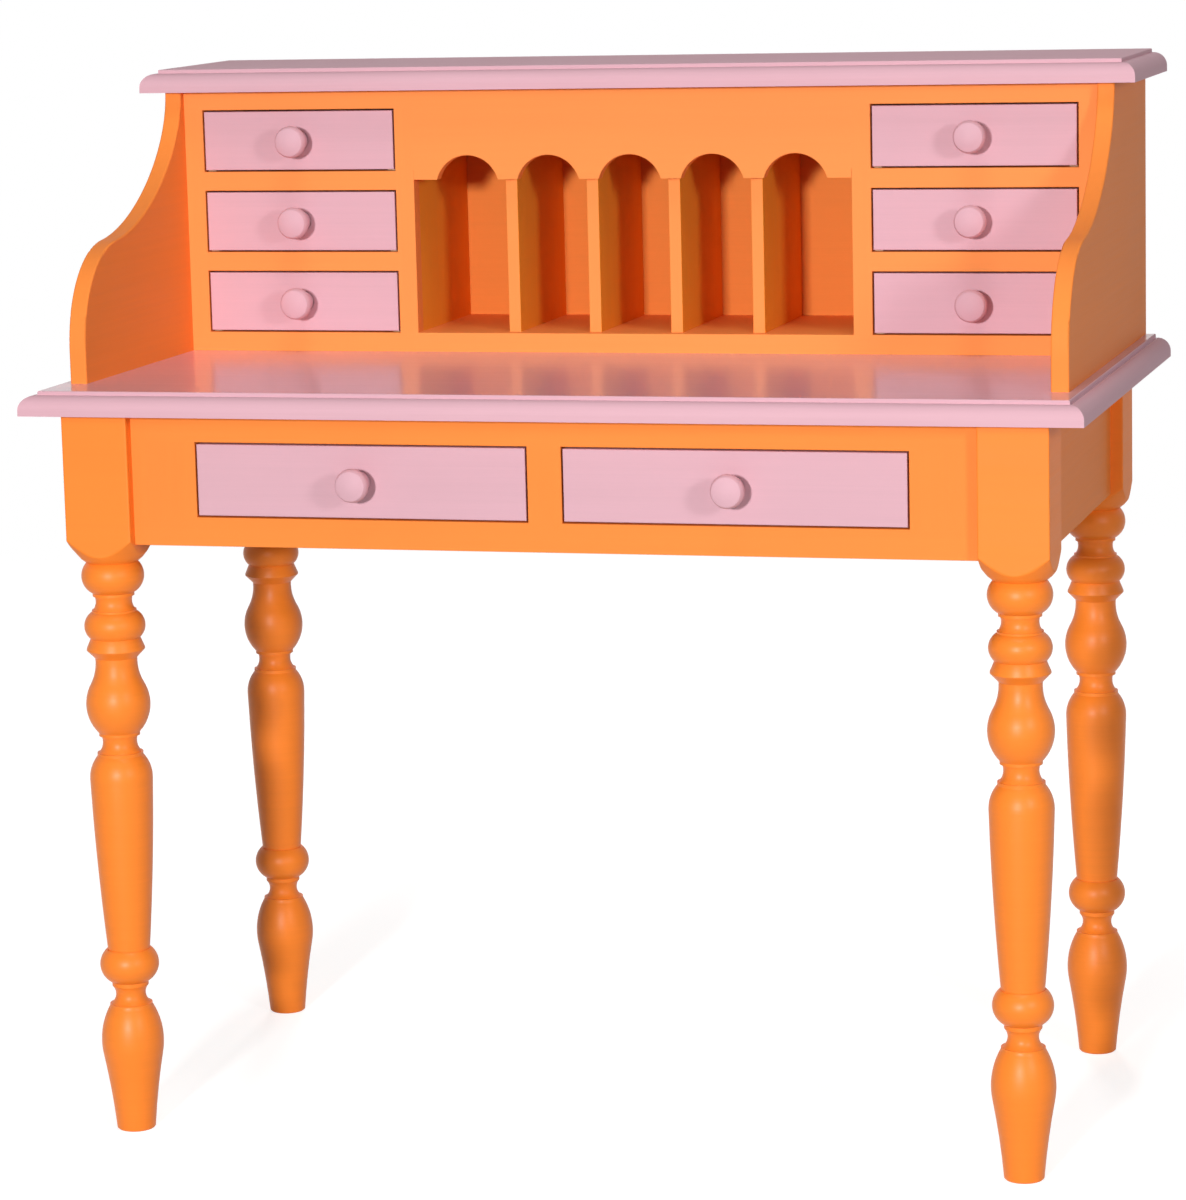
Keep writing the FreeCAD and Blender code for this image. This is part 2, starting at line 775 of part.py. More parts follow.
def hutch_runners():
    """A guide beside each drawer, runners behind the rails and kickers over the top row."""
    inner = (partition_outer_x, hutch_opening_inner_x)
    outer = (hutch_opening_outer_x, hutch_inner_x)
    inner_ledge = (inner[0], inner[1] + hutch_runner_ledge)
    outer_ledge = (outer[0] - hutch_runner_ledge, outer[1])
    pieces = []
    for z in row_bottoms():
        for x0, x1 in (inner, outer):
            pieces.append(box(x0, x1, frame_back_y, hutch_back_y, z, z + hutch_guide_height))
    for z in row_bottoms()[1:] + [hutch_top_under]:
        for x0, x1 in (inner_ledge, outer_ledge):
            pieces.append(box(x0, x1, frame_back_y, hutch_back_y, z - hutch_rail_height, z))
    return Part.makeCompound(pieces + [mirrored(piece) for piece in pieces])


def hutch():
    partitions = [partition(), mirrored(partition())]
    uprights = partitions + dividers()
    side = hutch_side()
    top = moulded_slab(hutch_slab_width, hutch_rear_y - hutch_slab_depth, hutch_rear_y,
                       hutch_top_under, hutch_slab_thickness)
    nodes = {
        "hutch_side_right": side,
        "hutch_side_left": mirrored(side),
        "hutch_top": top.cut(uprights + dowels(glue_line)),
        "hutch_back": back_board(),
        "hutch_floor": floor_board().cut(uprights),
        "hutch_partitions": Part.makeCompound(partitions),
        "pigeonhole_dividers": Part.makeCompound(dividers()),
        "hutch_drawer_runners": hutch_runners(),
        "hutch_dowels": Part.makeCompound(dowels(0.0)),
        "hutch_screws": Part.makeCompound(
            [screw(hutch_screw_length, point) for point in hutch_screw_points()]),
    }
    nodes.update(face_frame())
    return nodes


def knob(x, y, z, clearance=0.0):
    """A mushroom knob that points to the front, with its spigot behind it."""
    turning = Turning(knob_spigot_radius + clearance)
    turning.line(knob_spigot_radius + clearance, knob_spigot_length + clearance)
    if clearance == 0.0:
        turning.step(knob_base_radius)
        turning.arc(knob_neck_radius, knob_underside_radius, knob_neck_length,
                    at=knob_neck_share)
        turning.arc(knob_head_radius, knob_face_radius, knob_rim_length, at=knob_rim_share)
        turning.dome(knob_dome)
    piece = turning.solid()
    piece.rotate(Vector(0, 0, 0), Vector(1, 0, 0), 90)
    return piece.translated(Vector(x, y + knob_spigot_length + clearance, z))


class DrawerStock:
    """Board sizes of one kind of drawer."""

    def __init__(self, front, side, back, bottom, rise, groove, rabbet, headroom):
        self.front = front
        self.side = side
        self.back = back
        self.bottom = bottom
        self.rise = rise
        self.groove = groove
        self.rabbet = rabbet
        self.headroom = headroom


desk_stock = DrawerStock(desk_front_thickness, desk_side_thickness, desk_back_thickness,
                         desk_bottom_thickness, desk_bottom_rise, desk_groove_depth,
                         desk_rabbet_depth, desk_headroom)
hutch_stock = DrawerStock(hutch_front_thickness, hutch_drawer_side_thickness,
                          hutch_drawer_back_thickness, hutch_bottom_thickness, hutch_bottom_rise,
                          hutch_groove_depth, hutch_rabbet_depth, hutch_headroom)


def drawer(name, stock, opening, face_y, stop_y):
    """An inset drawer: front, two sides with a back, a bottom in grooves, and a knob."""
    open_x0, open_x1, open_z0, open_z1 = opening
    x0 = open_x0 + drawer_gap
    x1 = open_x1 - drawer_gap
    rear_y = stop_y - rear_clearance
    side_z0 = open_z0 + running_gap
    side_z1 = open_z1 - stock.headroom
    front_back_y = face_y + stock.front
    side_front_y = front_back_y - stock.rabbet
    bottom_z0 = side_z0 + stock.rise
    bottom_z1 = bottom_z0 + stock.bottom

    panel = box(x0 + stock.side - stock.groove, x1 - stock.side + stock.groove,
                front_back_y - stock.groove, rear_y, bottom_z0, bottom_z1)
    left = box(x0, x0 + stock.side, side_front_y, rear_y, side_z0, side_z1)
    right = box(x1 - stock.side, x1, side_front_y, rear_y, side_z0, side_z1)
    back = box(x0 + stock.side, x1 - stock.side, rear_y - stock.back, rear_y,
               bottom_z1, side_z1)
    front = box(x0, x1, face_y, front_back_y, open_z0 + drawer_gap, open_z1 - drawer_gap)
    front = eased(front, drawer_front_arris, lambda p: near(p.y, face_y))
    middle_x = (open_x0 + open_x1) / 2
    middle_z = (open_z0 + open_z1) / 2
    front = front.cut([left, right, panel, knob(middle_x, face_y, middle_z, glue_line)])
    return {
        name + "_front": front,
        name + "_box": Part.makeCompound([left.cut(panel), right.cut(panel), back]),
        name + "_bottom": panel,
        name + "_knob": knob(middle_x, face_y, middle_z),
    }


def all_drawers():
    nodes = {}
    for side, sign in (("left", -1), ("right", 1)):
        desk_x = sorted((sign * desk_opening_inner_x, sign * desk_opening_outer_x))
        nodes.update(drawer("desk_drawer_" + side, desk_stock,
                            (*desk_x, desk_opening_bottom, desk_opening_top),
                            apron_face_y, rear_apron_inner_y))
        hutch_x = sorted((sign * hutch_opening_inner_x, sign * hutch_opening_outer_x))
        for row, z in zip(("bottom", "middle", "top"), row_bottoms()):
            nodes.update(drawer("hutch_drawer_" + side + "_" + row, hutch_stock,
                                (*hutch_x, z, z + hutch_opening_height),
                                hutch_face_y, hutch_back_y))
    return nodes


def main():
    nodes = desk_base()
    nodes.update(hutch())
    nodes.update(all_drawers())
    os.makedirs("parts", exist_ok=True)
    for name, shape in nodes.items():
        shape.exportStep("parts/" + name + ".step")
    return nodes


nodes = main()
print(len(nodes), "nodes, desk top at", desk_top_face, "overall height",
      hutch_top_under + hutch_slab_thickness)
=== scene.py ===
import json
import math

import bmesh
import bpy
from mathutils import Matrix, Vector
from mathutils.bvhtree import BVHTree


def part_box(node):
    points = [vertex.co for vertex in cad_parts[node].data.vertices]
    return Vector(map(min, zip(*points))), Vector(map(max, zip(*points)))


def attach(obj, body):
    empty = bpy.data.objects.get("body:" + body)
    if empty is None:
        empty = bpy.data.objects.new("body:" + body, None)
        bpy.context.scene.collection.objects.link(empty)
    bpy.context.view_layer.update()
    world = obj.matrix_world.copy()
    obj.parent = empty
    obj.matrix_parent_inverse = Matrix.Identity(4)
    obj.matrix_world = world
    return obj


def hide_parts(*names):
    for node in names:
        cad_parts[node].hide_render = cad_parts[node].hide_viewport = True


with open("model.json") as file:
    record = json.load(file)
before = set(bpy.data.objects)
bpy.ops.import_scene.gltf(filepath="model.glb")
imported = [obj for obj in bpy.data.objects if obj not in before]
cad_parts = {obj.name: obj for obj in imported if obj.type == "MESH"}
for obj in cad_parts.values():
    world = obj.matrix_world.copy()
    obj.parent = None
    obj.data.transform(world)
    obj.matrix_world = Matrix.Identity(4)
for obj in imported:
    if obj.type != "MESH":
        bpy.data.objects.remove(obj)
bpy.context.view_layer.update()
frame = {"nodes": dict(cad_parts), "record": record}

# A painted writing desk with a low hutch: an orange carcass with pink tops, drawer fronts and
# knobs, and bare pine inside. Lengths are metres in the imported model's frame: +Z is up and the
# front faces -Y.

# Paints and woods, as linear colours
ORANGE = (0.93, 0.262, 0.049)
LEG_ORANGE = (0.95, 0.239, 0.022)
# A paler, whiter copy of the orange paint for the hutch: painted light
HUTCH_ORANGE_WITH_PAINTED_LIGHT = (0.93, 0.300, 0.076)
# A yellower copy of the orange for the sideways walls of the pigeonholes: painted light
PIGEONHOLE_WALL_PAINTED_LIGHT = (0.95, 0.362, 0.036)
# A darker copy of the orange for the front of the hutch's back, deep in the pigeonholes: painted
# shade
BACK_ORANGE_PAINTED_SHADE = (0.82, 0.240, 0.044)
PINK = (0.69, 0.405, 0.465)
PINE_EARLY = (0.71, 0.50, 0.29)
PINE_LATE = (0.50, 0.29, 0.13)
BIRCH_PALE = (0.69, 0.54, 0.36)
BIRCH_DARK = (0.56, 0.41, 0.25)
ZINC_BRIGHT = (0.62, 0.62, 0.60)
ZINC_DULL = (0.42, 0.42, 0.41)

# How finely a noise is broken up, and the middle of its values
COARSE_DETAIL = 1.0
PLAIN_DETAIL = 2.0
FINE_DETAIL = 3.0
NOISE_MIDDLE = 0.5

# Marks in the paint: brush strokes, the figure of the wood below, patches of tone, and specks.
# Each has its size, and its part in the shade, the roughness and the relief.
STROKE_LENGTH = 0.16
STROKE_WIDTH = 0.0016
STROKE_SHADE = 0.42
STROKE_ROUGHNESS = 0.14
STROKE_RELIEF = 0.00005
FIGURE_LENGTH = 0.30
FIGURE_WIDTH = 0.007
FIGURE_SHADE = 0.42
FIGURE_RELIEF = 0.00012
TONE_SIZE = 0.22
TONE_SHADE = 0.55
TONE_ROUGHNESS = 0.10
SPECK_SIZE = 0.0022
SPECK_ROUGHNESS = 0.05
SPECK_RELIEF = 0.00001

# The shade runs between two shares of the paint's colour
MIDDLE_SHADE = 0.5
DARKEST_SHARE = 0.93
PALEST_SHARE = 1.07

# How rough and how reflecting the paint is on boards, on turned pieces and where it is rubbed
# smooth. The brushwork on the two tops is flatter than elsewhere.
SATIN = 0.55
TURNED_SATIN = 0.42
RUBBED = 0.21
BOARD_REFLECTION = 0.1
TURNED_REFLECTION = 0.33
RUBBED_REFLECTION = 0.5
RUBBED_RELIEF = 0.08
RUBBED_UNEVENNESS = 0.3
TOP_RELIEF = 0.5

# Bare pine: growth rings about a heart that lies beside the board, their sway along it, fibres and
# patches of tone
RING_SPACING = 0.0042
RING_DISTORTION = 5.0
RING_DISTORTION_SCALE = 0.6
RING_SHARPNESS = 2.2
RING_SHADE = 0.75
RING_SMOOTHNESS = 0.08
RING_RELIEF = 0.00003
HEART_OFFSET = 0.11
SWAY_LENGTH = 0.35
SWAY_WIDTH = 0.06
SWAY_PHASE = 9.0
FIBRE_LENGTH = 0.05
FIBRE_WIDTH = 0.0006
FIBRE_SHADE = 0.35
FIBRE_ROUGHNESS = 0.2
FIBRE_RELIEF = 0.00006
PINE_TONE_SIZE = 0.12
PINE_TONE_SHADE = 0.3
PINE_ROUGHNESS = 0.62
# A wave texture at a scale of one turns through this many radians in a metre
WAVE_TURN = 20

# Birch plywood: broad waves of the peeled veneer, and its fibres
PEEL_LENGTH = 0.16
PEEL_WIDTH = 0.022
PEEL_BANDS = (0.30, 0.52, 0.72)
VENEER_FIBRE_LENGTH = 0.03
VENEER_FIBRE_WIDTH = 0.0005
VENEER_FIBRE_SHADE = 0.5
VENEER_FIBRE_ROUGHNESS = 0.15
VENEER_FIBRE_RELIEF = 0.00004
VENEER_SHADE = 0.25
VENEER_ROUGHNESS = 0.66

# Zinc plate: dull clouds and fine scratches
CLOUD_SIZE = 0.003
CLOUD_ROUGHNESS = 0.2
SCRATCH_LENGTH = 0.004
SCRATCH_WIDTH = 0.0002
SCRATCH_ROUGHNESS = 0.1
SCRATCH_RELIEF = 0.00001
ZINC_ROUGHNESS = 0.30

# A face looks along an axis when its normal passes one of these limits
LOOKS_ALONG = 0.7
LOOKS_SQUARE = 0.99
LOOKS_EXACTLY = 0.999

# Places closer than these count as one, as do values rounded to these digits
SAME_PLACE = 1e-6
WELD = 2e-6
PLACE_DIGITS = 6
HEIGHT_DIGITS = 7

# Turned legs and knobs: the square block above the turned part of a leg, and how finely they are
# faceted. A unit grid is bent round into each of them.
BLOCK_HEIGHT = 0.151
POMMEL_HEIGHT = 0.023
POMMEL_OVERRUN = 0.001
POMMEL_STEPS = 46
LEG_FACETS = 128
KNOB_FACETS = 96
CORNER_POWER = 60.0
SQUARE_SIDES = 4
FACET_CROWDING = 0.8
GRID_SIZE = 1.0
OUTLINE_SLACK = 0.00002
CREASE = math.radians(32)
# Knobs and screws are cut from round stock that is wider than any of them
ROUND_POWER = 2.0
ROUND_STOCK = 1.0
UPRIGHT = (0.0, 0.0, 0.0)
TO_THE_FRONT = (math.pi / 2, 0.0, 0.0)

# Eased arrises of the boards
FRAME_EASE = 0.0008
FRONT_EASE = 0.0010
BOX_EASE = 0.0006
REAR_BOARD_ZONE = 0.020
ARRIS_ANGLE = math.radians(60)
ARRIS_STEPS = 3
SHORTEST_ARRIS = 0.012
TOUCHING = 0.0001
FLAT_ANGLE = math.radians(0.5)

# A ray starts this far in front of a frame, and reaches just into its face
PROBE_START = 0.01
PROBE_REACH = 0.0101

# Countersunk screws. Points on heads that are closer than a screw's own room are on the same head.
SCREW_HEAD_RADIUS = 0.004
SCREW_ROOM = 4 * SCREW_HEAD_RADIUS
SCREW_HEAD_HEIGHT = 0.0025
SCREW_SHANK_RADIUS = 0.002
RECESS_LENGTH = 0.0046
RECESS_WIDTH = 0.0010
RECESS_DEPTH = 0.0016
SCREW_FACETS = 36

# The camera that took the photograph, with its picture 1186 by 1200
CAMERA_PLACE = (1.15974, -4.23724, 1.27444)
CAMERA_AZIMUTH = math.radians(15.64)
CAMERA_ELEVATION = math.radians(9.64)
CAMERA_ROLL = math.radians(-1.406)
CAMERA_FOCAL_PIXELS = 4249.6
PICTURE_HEIGHT = 1200
SENSOR = 36.0

# Studio light, backdrop and floor
WHITE = (1.0, 1.0, 1.0, 1.0)
LIGHT_AIM = (0.0, 0.0, 0.60)
FRONT_SHARE = 0.715
SIDE_SHARE = 0.23
TOP_SHARE = 0.22
REAR_SHARE = 0.60
SKY_STRENGTH = 0.13
BACKDROP_STRENGTH = 1.0
FLOOR_RADIUS = 4.0
FLOOR_FACETS = 96
FLOOR_FADE_START = 0.9
FLOOR_GLOW = 0.75
FLOOR_ALBEDO = 0.6

carried_by = {node: body for body, nodes in frame["record"]["behaviour"]["bodies"].items()
              for node in nodes}
drawers = [body for body in frame["record"]["behaviour"]["bodies"] if body != "carcass"]


class Wire:
    """A value in a node tree. Sums written on it add Math nodes."""

    def __init__(self, sheet, socket):
        self.sheet = sheet
        self.socket = socket

    def math(self, operation, *terms):
        return self.sheet.node("ShaderNodeMath", {"operation": operation}, dict(enumerate(terms)))

    def output(self, name):
        """Any output of the same node."""
        return Wire(self.sheet, self.socket.node.outputs[name])

    def __add__(self, other):
        return self.math("ADD", self, other)

    def __radd__(self, other):
        return self.math("ADD", other, self)

    def __sub__(self, other):
        return self.math("SUBTRACT", self, other)

    def __rsub__(self, other):
        return self.math("SUBTRACT", other, self)

    def __mul__(self, other):
        return self.math("MULTIPLY", self, other)

    def __rmul__(self, other):
        return self.math("MULTIPLY", other, self)

    def __truediv__(self, other):
        return self.math("DIVIDE", self, other)

    def __rtruediv__(self, other):
        return self.math("DIVIDE", other, self)

    def __pow__(self, other):
        return self.math("POWER", self, other)

    def __gt__(self, other):
        return self.math("GREATER_THAN", self, other)

    def __abs__(self):
        return self.math("ABSOLUTE", self)


class Sheet:
    """A node tree that is being drawn up."""

    def __init__(self, tree):
        self.tree = tree
        tree.nodes.clear()

    def node(self, kind, settings=None, sockets=None, out=0):
        """Add a node: its settings first, then the values or links of its sockets."""
        made = self.tree.nodes.new(kind)
        for name, value in (settings or {}).items():
            if name == "stops":
                self.set_stops(made.color_ramp, value)
            else:
                setattr(made, name, value)
        for name, value in (sockets or {}).items():
            if isinstance(value, Wire):
                self.tree.links.new(value.socket, made.inputs[name])
            else:
                made.inputs[name].default_value = value
        return Wire(self, made.outputs[out]) if made.outputs else made

    @staticmethod
    def set_stops(ramp, stops):
        while len(ramp.elements) < len(stops):
            ramp.elements.new(1.0)
        for element, (place, colour) in zip(ramp.elements, stops):
            element.position = place
            element.color = (*colour, 1.0)


class FinishSheet(Sheet):
    """The nodes of one paint, wood or metal."""

    def __init__(self, name):
        self.material = bpy.data.materials.new(name)
        self.material.use_nodes = True
        super().__init__(self.material.node_tree)
        self.place = self.node("ShaderNodeTexCoord", out="Object")

    def noise(self, size, detail=PLAIN_DETAIL, vector=None):
        """Cloudy patches of a size, with values from 0 to 1."""
        return self.node("ShaderNodeTexNoise", {}, {
            "Vector": vector or self.place, "Scale": 1 / size, "Detail": detail})

    def streaks(self, along, length, width, detail=PLAIN_DETAIL):
        """Marks that run along the named axes and are narrow across the others."""
        scale = [1 / (length if axis in along else width) for axis in "xyz"]
        stretched = self.node("ShaderNodeMapping", {}, {"Vector": self.place, "Scale": scale})
        return self.noise(1.0, detail, stretched)

    def facing(self, axis, closeness):
        """One on the faces that look along an axis, either way."""
        split = self.node("ShaderNodeSeparateXYZ", {}, {0: self.place.output("Normal")})
        return abs(split.output(axis.upper())) > closeness

    def brushwork(self, along, ends, length, width):
        """Streaks along the grain, and another way on the faces that look along it."""
        marks = self.streaks(along, length, width, FINE_DETAIL) - NOISE_MIDDLE
        if ends:
            across = self.streaks(ends, length, width, FINE_DETAIL) - NOISE_MIDDLE
            marks = marks + self.facing(along, LOOKS_ALONG) * (across - marks)
        return marks

    def blend(self, factor, first, second):
        """A colour between two others."""
        ends = [(*colour, 1.0) if isinstance(colour, tuple) else colour
                for colour in (first, second)]
        # Inputs 6 and 7 of this node are its two colours, and output 2 is the mixed one
        return self.node("ShaderNodeMix", {"data_type": "RGBA"},
                         {"Factor": factor, 6: ends[0], 7: ends[1]}, out=2)

    def relief(self, height):
        """Bumps whose height is in metres."""
        return self.node("ShaderNodeBump", {}, {"Strength": 1.0, "Distance": 1.0, "Height": height})

    def coat(self, **sockets):
        """One even kind of surface."""
        named = {name.replace("_", " "): value for name, value in sockets.items()}
        return self.node("ShaderNodeBsdfPrincipled", {}, named)

    def finish(self, surface):
        """The material, with this as its surface."""
        self.node("ShaderNodeOutputMaterial", {}, {"Surface": surface})
        return self.material


def shaded(colour, share):
    """A darker or paler cast of a colour."""
    return tuple(channel * share for channel in colour)


def brushed_paint(name, colour, along, ends=None, painted_light_walls=None, rubbed=False, turned_to=None,
                  relief=1.0):
    """Satin paint brushed along a board, with the grain of the wood faintly showing through.

    Walls that look sideways can take another colour, a painted light standing in for the light that
    falls on them. The level faces can be rubbed smoother. A piece that is turned up to a height
    reflects more, and is smoother up to there.
    """
    sheet = FinishSheet(name)
    strokes = sheet.brushwork(along, ends, STROKE_LENGTH, STROKE_WIDTH)
    figure = sheet.brushwork(along, ends, FIGURE_LENGTH, FIGURE_WIDTH)
    tone = sheet.noise(TONE_SIZE) - NOISE_MIDDLE
    specks = sheet.noise(SPECK_SIZE, COARSE_DETAIL) - NOISE_MIDDLE
    roughness = SATIN
    reflection = BOARD_REFLECTION
    if turned_to:
        height = sheet.node("ShaderNodeSeparateXYZ", {}, {0: sheet.place}).output("Z")
        roughness = TURNED_SATIN + (height > turned_to) * (SATIN - TURNED_SATIN)
        reflection = TURNED_REFLECTION
    shade = MIDDLE_SHADE + tone * TONE_SHADE + strokes * STROKE_SHADE + figure * FIGURE_SHADE
    unevenness = strokes * STROKE_ROUGHNESS + tone * TONE_ROUGHNESS + specks * SPECK_ROUGHNESS
    ridges = strokes * STROKE_RELIEF + figure * FIGURE_RELIEF + specks * SPECK_RELIEF

    def coloured(base):
        return sheet.blend(shade, shaded(base, DARKEST_SHARE), shaded(base, PALEST_SHARE))

    paint = coloured(colour)
    # Faces that look along x take the other colour: painted light on the walls
    if painted_light_walls:
        paint = sheet.blend(sheet.facing("x", LOOKS_ALONG), paint, coloured(painted_light_walls))
    surface = sheet.coat(Base_Color=paint, Roughness=roughness + unevenness,
                         Specular_IOR_Level=reflection, Normal=sheet.relief(ridges * relief))
    if rubbed:
        smooth = sheet.coat(Base_Color=paint, Roughness=RUBBED + unevenness * RUBBED_UNEVENNESS,
                            Specular_IOR_Level=RUBBED_REFLECTION,
                            Normal=sheet.relief(ridges * RUBBED_RELIEF))
        surface = sheet.node("ShaderNodeMixShader", {}, {
            0: sheet.facing("z", LOOKS_EXACTLY), 1: surface, 2: smooth})
    return sheet.finish(surface)


def bare_pine(name, along):
    """Planed pine: growth rings cut along the board, with fine fibres."""
    sheet = FinishSheet(name)
    sway = sheet.streaks(along, SWAY_LENGTH, SWAY_WIDTH) - NOISE_MIDDLE
    heart = sheet.node("ShaderNodeMapping", {}, {
        "Vector": sheet.place,
        "Location": [0.0 if axis == along else HEART_OFFSET for axis in "xyz"]})
    rings = sheet.node("ShaderNodeTexWave", {
        "wave_type": "RINGS", "rings_direction": along.upper(), "wave_profile": "SAW",
    }, {"Vector": heart, "Scale": math.tau / WAVE_TURN / RING_SPACING,
        "Distortion": RING_DISTORTION, "Detail": PLAIN_DETAIL, "Detail Scale": RING_DISTORTION_SCALE,
        "Phase Offset": sway * SWAY_PHASE}, out="Fac")
    fibres = sheet.streaks(along, FIBRE_LENGTH, FIBRE_WIDTH) - NOISE_MIDDLE
    tone = sheet.noise(PINE_TONE_SIZE) - NOISE_MIDDLE
    late = rings ** RING_SHARPNESS * RING_SHADE + fibres * FIBRE_SHADE + tone * PINE_TONE_SHADE
    return sheet.finish(sheet.coat(
        Base_Color=sheet.blend(late, PINE_EARLY, PINE_LATE),
        Roughness=PINE_ROUGHNESS + fibres * FIBRE_ROUGHNESS - rings * RING_SMOOTHNESS,
        Normal=sheet.relief(fibres * FIBRE_RELIEF + rings * RING_RELIEF),
    ))


def birch_plywood(name):
    """The sanded face of plywood, peeled from the log in broad pale waves."""
    sheet = FinishSheet(name)
    waves = sheet.streaks("y", PEEL_LENGTH, PEEL_WIDTH, FINE_DETAIL)
    fibres = sheet.streaks("y", VENEER_FIBRE_LENGTH, VENEER_FIBRE_WIDTH) - NOISE_MIDDLE
    stops = list(zip(PEEL_BANDS, (BIRCH_PALE, BIRCH_DARK, BIRCH_PALE)))
    bands = sheet.node("ShaderNodeValToRGB", {"stops": stops}, {"Fac": waves})
    return sheet.finish(sheet.coat(
        Base_Color=sheet.blend(fibres * VENEER_FIBRE_SHADE + VENEER_SHADE, bands, BIRCH_DARK),
        Roughness=VENEER_ROUGHNESS + fibres * VENEER_FIBRE_ROUGHNESS,
        Normal=sheet.relief(fibres * VENEER_FIBRE_RELIEF),
    ))


def zinc_plate(name):
    """Zinc-plated steel with cloudy dull patches."""
    sheet = FinishSheet(name)
    clouds = sheet.noise(CLOUD_SIZE, FINE_DETAIL)
    scratches = sheet.streaks("x", SCRATCH_LENGTH, SCRATCH_WIDTH) - NOISE_MIDDLE
    return sheet.finish(sheet.coat(
        Base_Color=sheet.blend(clouds, ZINC_BRIGHT, ZINC_DULL),
        Metallic=1.0,
        Roughness=ZINC_ROUGHNESS + clouds * CLOUD_ROUGHNESS + scratches * SCRATCH_ROUGHNESS,
        Normal=sheet.relief(scratches * SCRATCH_RELIEF),
    ))


leg_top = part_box("leg_front_left")[1][2]

# Paint is brushed along the grain: along x on rails and fronts, y on ends, z on stiles, and
# round the axis on turned pieces. The writing surface is rubbed smoother than the rest.
orange_rail = brushed_paint("orange_paint_along_rails", ORANGE, "x")
orange_end = brushed_paint("orange_paint_along_ends", ORANGE, "y", ends="z")
orange_stile = brushed_paint("orange_paint_along_stiles", ORANGE, "z")
# The hutch's rails, stiles, floor and valance take the paler copy of the orange, which paints light
# on them
hutch_rail = brushed_paint("orange_paint_along_hutch_rails", HUTCH_ORANGE_WITH_PAINTED_LIGHT, "x")
hutch_stile = brushed_paint("orange_paint_along_hutch_stiles", HUTCH_ORANGE_WITH_PAINTED_LIGHT, "z")
# The dividers and partitions have painted light on their sideways walls, in the yellower orange
orange_divider_and_painted_light = brushed_paint("orange_paint_along_dividers", HUTCH_ORANGE_WITH_PAINTED_LIGHT, "z",
                               painted_light_walls=PIGEONHOLE_WALL_PAINTED_LIGHT)
# The back panel takes the darker orange, a painted shade, on all but its rear face
orange_back_painted_shade = brushed_paint("orange_paint_along_hutch_back", BACK_ORANGE_PAINTED_SHADE, "x")
orange_turned = brushed_paint("orange_paint_round_legs", LEG_ORANGE, "xy",
                              turned_to=leg_top - BLOCK_HEIGHT)
pink_front = brushed_paint("pink_paint_along_fronts", PINK, "x")
pink_cover = brushed_paint("pink_paint_along_cover", PINK, "x", ends="y", relief=TOP_RELIEF)
pink_desk = brushed_paint("pink_paint_along_desk", PINK, "x", ends="y", rubbed=True,
                          relief=TOP_RELIEF)
pink_turned = brushed_paint("pink_paint_round_knobs", PINK, "xz")
pine_runner = bare_pine("bare_pine_along_runners", "y")
pine_front = bare_pine("bare_pine_behind_fronts", "x")
pine_dowel = bare_pine("bare_pine_along_dowels", "z")
plywood = birch_plywood("birch_plywood")
zinc = zinc_plate("zinc_plated_steel")

finish_of = {
    "apron_front_rails": orange_rail, "apron_front_stiles": orange_stile, "apron_rear": orange_rail,
    "apron_left": orange_end, "apron_right": orange_end, "desk_top": pink_desk,
    "desk_drawer_runners": pine_runner, "desk_drawer_kickers": pine_runner,
    "hutch_side_left": orange_end, "hutch_side_right": orange_end, "hutch_top": pink_cover,
    "hutch_back": orange_back_painted_shade, "hutch_floor": hutch_rail, "hutch_partitions": orange_divider_and_painted_light,
    "pigeonhole_dividers": orange_divider_and_painted_light, "hutch_drawer_runners": pine_runner,
    "hutch_dowels": pine_dowel, "hutch_top_rail": hutch_rail, "hutch_bottom_rail": hutch_rail,
    "hutch_stiles": hutch_stile, "hutch_drawer_rails": hutch_rail, "arched_valance": hutch_rail,
}
for drawer in drawers:
    finish_of[drawer + "_front"] = pink_front
    finish_of[drawer + "_box"] = pine_runner
    finish_of[drawer + "_bottom"] = plywood


class ShapeSheet(Sheet):
    """A Geometry Nodes tree with named inputs for its sizes."""

    def __init__(self, name, inputs):
        tree = bpy.data.node_groups.new(name, "GeometryNodeTree")
        super().__init__(tree)
        tree.interface.new_socket("Geometry", in_out="INPUT", socket_type="NodeSocketGeometry")
        for label, kind in inputs.items():
            tree.interface.new_socket(label, in_out="INPUT", socket_type="NodeSocket" + kind)
        tree.interface.new_socket("Geometry", in_out="OUTPUT", socket_type="NodeSocketGeometry")
        self.start = self.node("NodeGroupInput")

    def given(self, name):
        """One of the tree's inputs."""
        return self.start.output(name)

    def close(self, geometry):
        """Every tree ends as one real mesh in one finish."""
        real = self.node("GeometryNodeRealizeInstances", {}, {"Geometry": geometry})
        done = self.node("GeometryNodeSetMaterial", {}, {
            "Geometry": real, "Material": self.given("Finish")})
        self.node("NodeGroupOutput", {}, {"Geometry": done})
        return self.tree

    def axes(self, vector):
        """The three parts of a vector."""
        split = self.node("ShaderNodeSeparateXYZ", {}, {0: vector})
        return split, split.output("Y"), split.output("Z")


